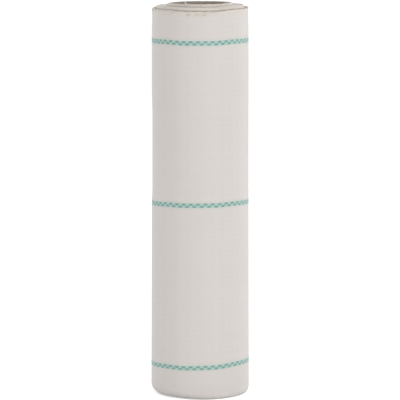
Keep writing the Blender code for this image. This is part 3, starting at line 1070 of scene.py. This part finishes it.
# Each single end: its turn, angle, depth below the edge, length, direction, bow and narrowing
BORE_END = (10, -107.5, 3.2 * MM, 10.6 * MM, (-0.6, 0.05, 0.75), 0.3, 0.6)
RIM_END = (1, -42, 0.3 * MM, 5.5 * MM, (0.93, 0.45, 0.05), 0.5, 0.35)


def between(limits, share):
    return limits[0] + (limits[1] - limits[0]) * share


def loose_end(start, direction, rise, side, length, bow, narrowing=LOOSE_END_NARROWING):
    """Rings of one short tape that leaves the weave along direction and curls towards rise."""
    share = np.linspace(0, 1, LOOSE_END_STEPS)[:, None]
    swing = bow * share
    path = start + direction * length * np.sin(swing) / bow
    path = path + rise * length * (1 - np.cos(swing)) / bow
    facing = rise * np.cos(swing) - direction * np.sin(swing)
    half = side * LOOSE_END_WIDTH / 2 * (1 - narrowing * share ** (1 / narrowing))
    lift = facing * LOOSE_END_THICKNESS / 2
    return np.stack([path - half + lift, path + half + lift,
                     path + half - lift, path - half - lift], axis=1)


def unit(*values):
    vector = np.array(values, float)
    return vector / np.linalg.norm(vector)


def around(turn):
    """Directions at a place on the roll: outward, and the way that the web runs."""
    angle = float(turn_angle(turn))
    outward = np.array((math.cos(angle), math.sin(angle), 0.0))
    return outward, np.array((-outward[1], outward[0], 0.0))


ends = []
up = np.array((0.0, 0.0, 1.0))
strip_spans = [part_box(f"closure_tape_{name}") for name in ("lower", "upper")]
for row in range(math.ceil(LOW_ROW) + 1, math.floor(TOP_ROW)):
    chance, length, bow, slant = draws.uniform(0, 1, 4)
    start = on_roll(np.array(TURNS - CUT_END_INSET), np.array(across_at(row + 0.5)))
    taped = any(
        low.z - TAPED_MARGIN < start[2] < high.z + TAPED_MARGIN for low, high in strip_spans
    )
    if chance < CUT_END_SKIPPED or taped or row in marker_rows:
        continue
    outward, forward = around(TURNS)
    forward = unit(*(forward + up * between(CUT_END_SLANTS, slant)))
    ends.append(loose_end(start + outward * CUT_END_STAND_OFF, forward, outward, up,
                          between(CUT_END_LENGTHS, length * length),
                          between(CUT_END_BOWS, bow)))
for turn, count, lengths in EDGE_ENDS:
    for place in np.arange(count) / count:
        shift, length, bow, lean = draws.uniform(0, 1, 4)
        at = turn - EDGE_END_SPAN * (place + shift / count)
        outward, forward = around(at)
        start = on_roll(np.array(at), np.array(WEB_WIDTH - EDGE_END_DEPTH), WEB_THICKNESS / 2)
        direction = unit(*(up + forward * (lean - 0.5) + outward * EDGE_END_LEAN))
        ends.append(loose_end(start, direction, outward, unit(*np.cross(direction, outward)),
                              between(lengths, length * length), between(EDGE_END_BOWS, bow)))
for turn, angle, below, length, direction, bow, narrowing in (BORE_END, RIM_END):
    at = turn + (math.radians(angle) - float(turn_angle(turn))) / (2 * math.pi) % 1
    outward, forward = around(at)
    start = on_roll(np.array(at), np.array(WEB_WIDTH - below), WEB_THICKNESS / 2)
    direction = unit(*direction)
    ends.append(loose_end(start, direction, outward, unit(*np.cross(direction, outward)),
                          length, bow, narrowing))

loose_mesh = loft("loose_tape_ends", ends)
weave = np.empty((len(ends), LOOSE_END_STEPS, 4, 2))
weave[..., 0] = np.arange(len(ends))[:, None, None] * LOOSE_END_PICKS
weave[..., 0] += np.linspace(0, 1, LOOSE_END_STEPS)[:, None]
weave[..., 1] = LOOSE_END_ROW + 0.45 * np.array((-1, 1, 1, -1))
add_uv(loose_mesh, "weave", weave)
add_shade(loose_mesh, "painted_shade", np.zeros(len(loose_mesh.vertices)))
add_piece("loose_tape_ends", loose_mesh, web_finish("loose_film", 0.3, 0.0, 0.0))


# Studio: a pale floor that runs on to a white background, three large soft lamps and the
# camera, which looks down a little from far off.
FLOOR_SIZE = 60.0
FLOOR_COLOUR = (0.92, 0.92, 0.92, 1)
FLOOR_LIFT = 0.46
WORLD_LEVEL = 0.66
CAMERA_PLACE = (-0.0001, -3.5, 0.693)
CAMERA_TILT = math.radians(7.167)
CAMERA_LENS = 243.45

# Each lamp: its place, power and size
LAMPS = {
    "key_lamp": ((1.35, -2.9, 1.9), 33, 1.8),
    "right_lamp": ((2.35, 1.95, 2.0), 34, 1.6),
    "left_lamp": ((-2.35, 1.95, 2.0), 27, 1.6),
}
LAMP_AIM = (0.0, 0.0, 0.26)

floor_mesh = bpy.data.meshes.new("studio_floor")
half_floor = FLOOR_SIZE / 2
floor_mesh.from_pydata(
    [(-half_floor, -half_floor, 0), (half_floor, -half_floor, 0),
     (half_floor, half_floor, 0), (-half_floor, half_floor, 0)], [], [(0, 1, 2, 3)]
)
floor = bpy.data.objects.new("studio_floor", floor_mesh)
bpy.context.scene.collection.objects.link(floor)
floor_paint, floor_tree, floor_shader = new_finish("studio_floor", 0.9)
floor_shader.inputs["Base Color"].default_value = FLOOR_COLOUR
floor_shader.inputs["Specular IOR Level"].default_value = 0.0
floor_shader.inputs["Emission Color"].default_value = (1, 1, 1, 1)
seen = add_node(floor_tree, "ShaderNodeLightPath").outputs["Is Camera Ray"]
floor_tree.links.new(maths(floor_tree, "MULTIPLY", seen, FLOOR_LIFT),
                     floor_shader.inputs["Emission Strength"])
floor_mesh.materials.append(floor_paint)

world = bpy.data.worlds.new("studio")
world.use_nodes = True
bpy.context.scene.world = world
sky = world.node_tree
sky.nodes.clear()
rays = add_node(sky, "ShaderNodeLightPath").outputs
shown = maths(sky, "MAXIMUM", rays["Is Camera Ray"],
              maths(sky, "MAXIMUM", rays["Is Glossy Ray"], rays["Is Transmission Ray"]))
level = choose(sky, shown, WORLD_LEVEL, 1.0)
studio_air = add_node(sky, "ShaderNodeBackground", {"Color": (1, 1, 1, 1), "Strength": level})
sky_out = add_node(sky, "ShaderNodeOutputWorld")
sky.links.new(studio_air.outputs[0], sky_out.inputs["Surface"])


def add_lamp(name, place, power, size):
    lamp = bpy.data.lights.new(name, "AREA")
    lamp.energy = power
    lamp.shape = "SQUARE"
    lamp.size = size
    holder = bpy.data.objects.new(name, lamp)
    bpy.context.scene.collection.objects.link(holder)
    holder.location = place
    aim = [goal - at for goal, at in zip(LAMP_AIM, place)]
    tilt = math.atan2(math.hypot(aim[0], aim[1]), -aim[2])
    holder.rotation_euler = (tilt, 0, math.atan2(aim[1], aim[0]) - math.pi / 2)


for name, lamp in LAMPS.items():
    add_lamp(name, *lamp)

camera_data = bpy.data.cameras.new("camera")
camera_data.lens = CAMERA_LENS
camera = bpy.data.objects.new("camera", camera_data)
bpy.context.scene.collection.objects.link(camera)
camera.location = CAMERA_PLACE
camera.rotation_euler = (math.pi / 2 - CAMERA_TILT, 0, 0)
bpy.context.scene.camera = camera
bpy.context.scene.view_settings.view_transform = "Standard"
